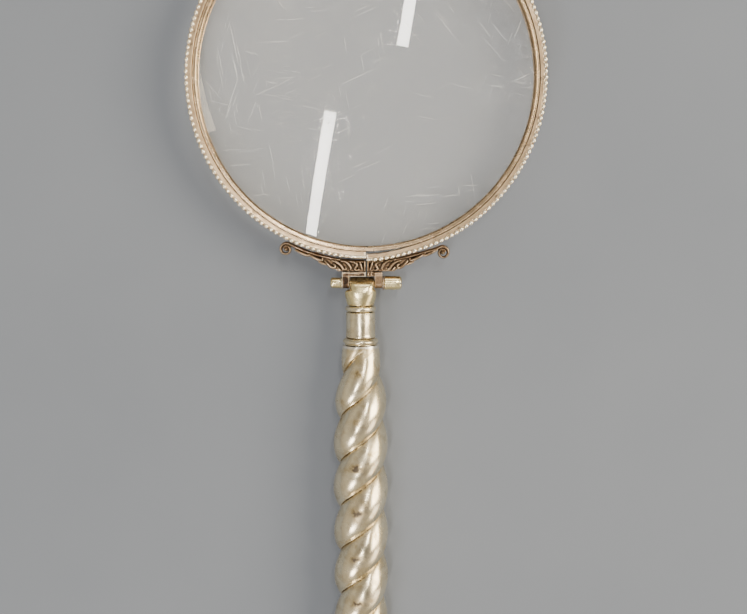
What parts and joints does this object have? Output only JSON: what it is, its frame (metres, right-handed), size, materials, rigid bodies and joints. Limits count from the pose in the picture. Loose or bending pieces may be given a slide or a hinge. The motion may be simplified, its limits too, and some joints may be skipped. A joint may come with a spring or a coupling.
{
  "type": "magnifying glass",
  "caption": "Hand magnifying glass: a beaded split hoop clamps a biconvex lens, joined by scroll brackets and a clamp screw to a knuckle, ferrule and rope-twist silvered handle.",
  "frame": {"origin": "bottom centre of the bounding box, with the glass lying on its back on a table", "axes": "+Z along the lens axis, out of the front of the lens; +Y from the handle towards the lens; +X to the right when the front of the lens is seen with the handle down"},
  "size_m": [0.1058, 0.254, 0.0166],
  "materials": {
    "optical_glass": "clear polished optical glass, lightly scratched",
    "rose_brass": "worn rose-tinted brass, once plated",
    "silver_plate": "warm polished silver plate with brown tarnish in the hollows",
    "antique_bronze": "cast, dark antique patina with rubbed highlights",
    "yellow_brass": "bare yellow brass, filed and rubbed bright",
    "steel_rod": "plain drawn rod",
    "dark_pitch": "dull setting pitch"
  },
  "bodies": {
    "handle": {"knuckle": "yellow_brass", "upper_collar": "silver_plate", "ferrule": "silver_plate", "lower_collar": "silver_plate", "tang_rod": "steel_rod", "handle_filling": "dark_pitch", "handle_shell": "silver_plate", "end_collar": "silver_plate", "end_cap": "silver_plate"},
    "lens_head": {"lens": "optical_glass", "front_rim": "rose_brass", "back_rim": "rose_brass", "split_band": "rose_brass", "front_bead_wire": "silver_plate", "back_bead_wire": "silver_plate", "left_scroll_bracket": "antique_bronze", "right_scroll_bracket": "antique_bronze", "left_ear": "antique_bronze", "right_ear": "antique_bronze", "clamp_nut": "yellow_brass", "nut_washer": "yellow_brass"},
    "washer": {"screw_washer": "antique_bronze"},
    "screw": {"clamp_screw": "yellow_brass"}
  },
  "joints": [
    {"name": "head_tilt", "type": "hinge", "parent": "handle", "child": "lens_head", "pos_m": [0, 0.01384, 0.00831], "axis": [1, 0, 0], "range_deg": [-35, 35]},
    {"name": "screw_travel", "type": "slide", "parent": "lens_head", "child": "washer", "axis": [1, 0, 0], "range_m": [0, 0.002]},
    {"name": "screw_turn", "type": "hinge", "parent": "washer", "child": "screw", "pos_m": [0, 0.01384, 0.00831], "axis": [1, 0, 0], "range_deg": [0, 1440]}
  ],
  "couplings": [
    {"joint": "screw_turn", "follows": "screw_travel", "rad_per_m": 12566}
  ]
}
